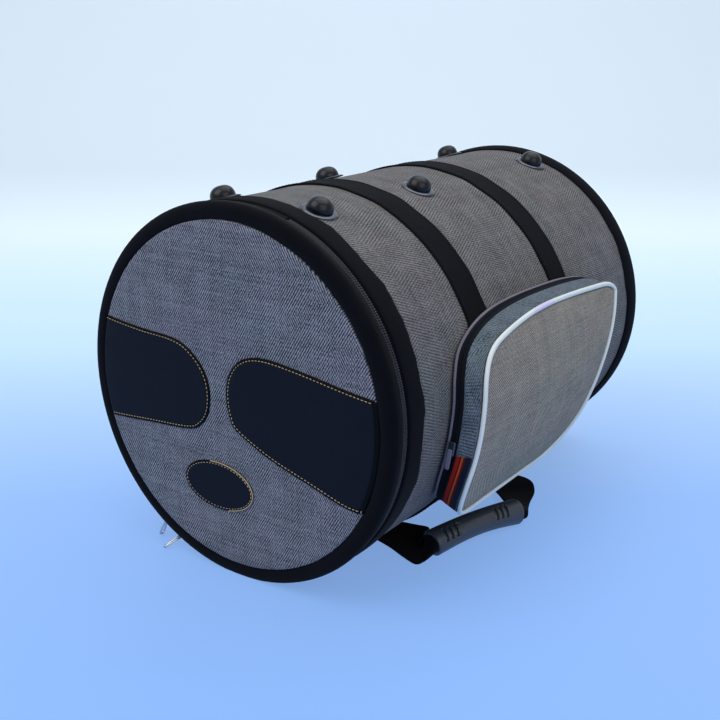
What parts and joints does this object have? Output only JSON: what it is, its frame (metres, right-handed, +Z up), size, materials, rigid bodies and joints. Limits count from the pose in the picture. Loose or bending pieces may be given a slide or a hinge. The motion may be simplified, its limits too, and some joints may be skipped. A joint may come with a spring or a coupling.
{
  "type": "darbuka bag",
  "caption": "Padded round drum bag lying on its side, with a zipped lid, a zipped side pocket, a carrying handle and foot studs.",
  "frame": {"origin": "middle of the flat strip under the bag, on the surface the bag lies on", "axes": "+Y along the bag from its lid to its base, +X towards the pocket and the handle, +Z up towards the feet"},
  "size_m": [0.3535, 0.4717, 0.3219],
  "materials": {
    "band_front": "woven webbing, matt",
    "band_rear": "woven webbing, matt",
    "barrel_foam": "closed-cell foam, matt",
    "barrel_lining": "thin nylon lining",
    "barrel_shell": "woven polyester, matt",
    "base_binding": "woven webbing, matt",
    "base_foam": "closed-cell foam, matt",
    "base_lining": "thin nylon lining",
    "base_panel": "woven polyester, matt",
    "foot_1": "gloss black plastic",
    "foot_2": "gloss black plastic",
    "foot_3": "gloss black plastic",
    "foot_4": "gloss black plastic",
    "foot_5": "gloss black plastic",
    "foot_6": "gloss black plastic",
    "foot_flange_1": "nickel plate",
    "foot_flange_2": "nickel plate",
    "foot_flange_3": "nickel plate",
    "foot_flange_4": "nickel plate",
    "foot_flange_5": "nickel plate",
    "foot_flange_6": "nickel plate",
    "foot_washer_1": "nickel plate",
    "foot_washer_2": "nickel plate",
    "foot_washer_3": "nickel plate",
    "foot_washer_4": "nickel plate",
    "foot_washer_5": "nickel plate",
    "foot_washer_6": "nickel plate",
    "handle_core": "woven webbing, matt",
    "handle_grip": "moulded rubber-like plastic, satin",
    "handle_strap_front": "woven webbing, matt",
    "handle_strap_rear": "woven webbing, matt",
    "hinge_web_barrel": "woven webbing, matt",
    "hinge_web_lid": "woven webbing, matt",
    "lid_binding": "woven webbing, matt",
    "lid_foam": "closed-cell foam, matt",
    "lid_gusset": "smooth coated cloth",
    "lid_lining": "thin nylon lining",
    "lid_panel": "woven polyester, matt",
    "mouth_binding": "woven webbing, matt",
    "patch_left": "smooth leather, semi-matt",
    "patch_oval": "smooth leather, semi-matt",
    "patch_right": "smooth leather, semi-matt",
    "pocket_front": "woven polyester, matt",
    "pocket_gusset": "woven polyester, matt",
    "pocket_piping": "smooth piping, satin",
    "pocket_pull": "nickel plate",
    "pocket_seam_cord": "braided cord",
    "pocket_slider": "nickel plate",
    "pocket_zip_barrel": "zip tape and teeth",
    "pocket_zip_flap": "zip tape and teeth",
    "pull_left": "nickel plate",
    "pull_right": "nickel plate",
    "slider_left": "nickel plate",
    "slider_right": "nickel plate",
    "stripe_tab": "striped woven webbing",
    "zip_tape_barrel": "zip tape and teeth",
    "zip_tape_lid": "zip tape and teeth",
    "zip_teeth_barrel": "zip tape and teeth",
    "zip_teeth_lid": "zip tape and teeth"
  },
  "bodies": {
    "bag": {"band_front": "band_front", "band_rear": "band_rear", "barrel_foam": "barrel_foam", "barrel_lining": "barrel_lining", "barrel_shell": "barrel_shell", "base_binding": "base_binding", "base_foam": "base_foam", "base_lining": "base_lining", "base_panel": "base_panel", "foot_1": "foot_1", "foot_2": "foot_2", "foot_3": "foot_3", "foot_4": "foot_4", "foot_5": "foot_5", "foot_6": "foot_6", "foot_flange_1": "foot_flange_1", "foot_flange_2": "foot_flange_2", "foot_flange_3": "foot_flange_3", "foot_flange_4": "foot_flange_4", "foot_flange_5": "foot_flange_5", "foot_flange_6": "foot_flange_6", "foot_washer_1": "foot_washer_1", "foot_washer_2": "foot_washer_2", "foot_washer_3": "foot_washer_3", "foot_washer_4": "foot_washer_4", "foot_washer_5": "foot_washer_5", "foot_washer_6": "foot_washer_6", "hinge_web_barrel": "hinge_web_barrel", "mouth_binding": "mouth_binding", "pocket_seam_cord": "pocket_seam_cord", "pocket_zip_barrel": "pocket_zip_barrel", "zip_tape_barrel": "zip_tape_barrel", "zip_teeth_barrel": "zip_teeth_barrel"},
    "lid": {"hinge_web_lid": "hinge_web_lid", "lid_binding": "lid_binding", "lid_foam": "lid_foam", "lid_gusset": "lid_gusset", "lid_lining": "lid_lining", "lid_panel": "lid_panel", "patch_left": "patch_left", "patch_oval": "patch_oval", "patch_right": "patch_right", "zip_tape_lid": "zip_tape_lid", "zip_teeth_lid": "zip_teeth_lid"},
    "slider_left": {"slider_left": "slider_left"},
    "pull_left": {"pull_left": "pull_left"},
    "slider_right": {"slider_right": "slider_right"},
    "pull_right": {"pull_right": "pull_right"},
    "pocket_flap": {"pocket_front": "pocket_front", "pocket_piping": "pocket_piping", "pocket_gusset": "pocket_gusset", "pocket_zip_flap": "pocket_zip_flap", "stripe_tab": "stripe_tab"},
    "pocket_slider": {"pocket_slider": "pocket_slider"},
    "pocket_pull": {"pocket_pull": "pocket_pull"},
    "handle": {"handle_grip": "handle_grip", "handle_core": "handle_core", "handle_strap_front": "handle_strap_front", "handle_strap_rear": "handle_strap_rear"}
  },
  "joints": [
    {"name": "lid_hinge", "type": "hinge", "parent": "bag", "child": "lid", "pos_m": [0, -0.2163, 0.3176], "axis": [-1, 0, 0], "range_deg": [0, 115]},
    {"name": "slider_left_run", "type": "hinge", "parent": "bag", "child": "slider_left", "pos_m": [0, -0.2163, 0.1586], "axis": [0, 1, 0], "range_deg": [0, 115]},
    {"name": "pull_left_swing", "type": "hinge", "parent": "slider_left", "child": "pull_left", "pos_m": [-0.09622, -0.2163, 0.02616], "axis": [0, 1, 0], "range_deg": [-5, 90]},
    {"name": "slider_right_run", "type": "hinge", "parent": "bag", "child": "slider_right", "pos_m": [0, -0.2163, 0.1586], "axis": [0, 1, 0], "range_deg": [-178, 0]},
    {"name": "pull_right_swing", "type": "hinge", "parent": "slider_right", "child": "pull_right", "pos_m": [-0.07304, -0.2163, 0.0121], "axis": [0, 1, 0], "range_deg": [-110, 3]},
    {"name": "pocket_hinge", "type": "hinge", "parent": "bag", "child": "pocket_flap", "pos_m": [0.13821, 0, 0.06468], "axis": [0, 1, 0], "range_deg": [0, 55]},
    {"name": "pocket_slider_run", "type": "hinge", "parent": "bag", "child": "pocket_slider", "pos_m": [0, -0.16, 0.1586], "axis": [0, 1, 0], "range_deg": [-22, 0]},
    {"name": "pocket_pull_swing", "type": "hinge", "parent": "pocket_slider", "child": "pocket_pull", "pos_m": [0.16456, -0.16059, 0.12958], "axis": [-0.9848, 0, 0.1736], "range_deg": [0, 150]},
    {"name": "handle_swing", "type": "hinge", "parent": "bag", "child": "handle", "pos_m": [0.042, 0, 0.00198], "axis": [0, 1, 0], "range_deg": [-3, 150]}
  ]
}
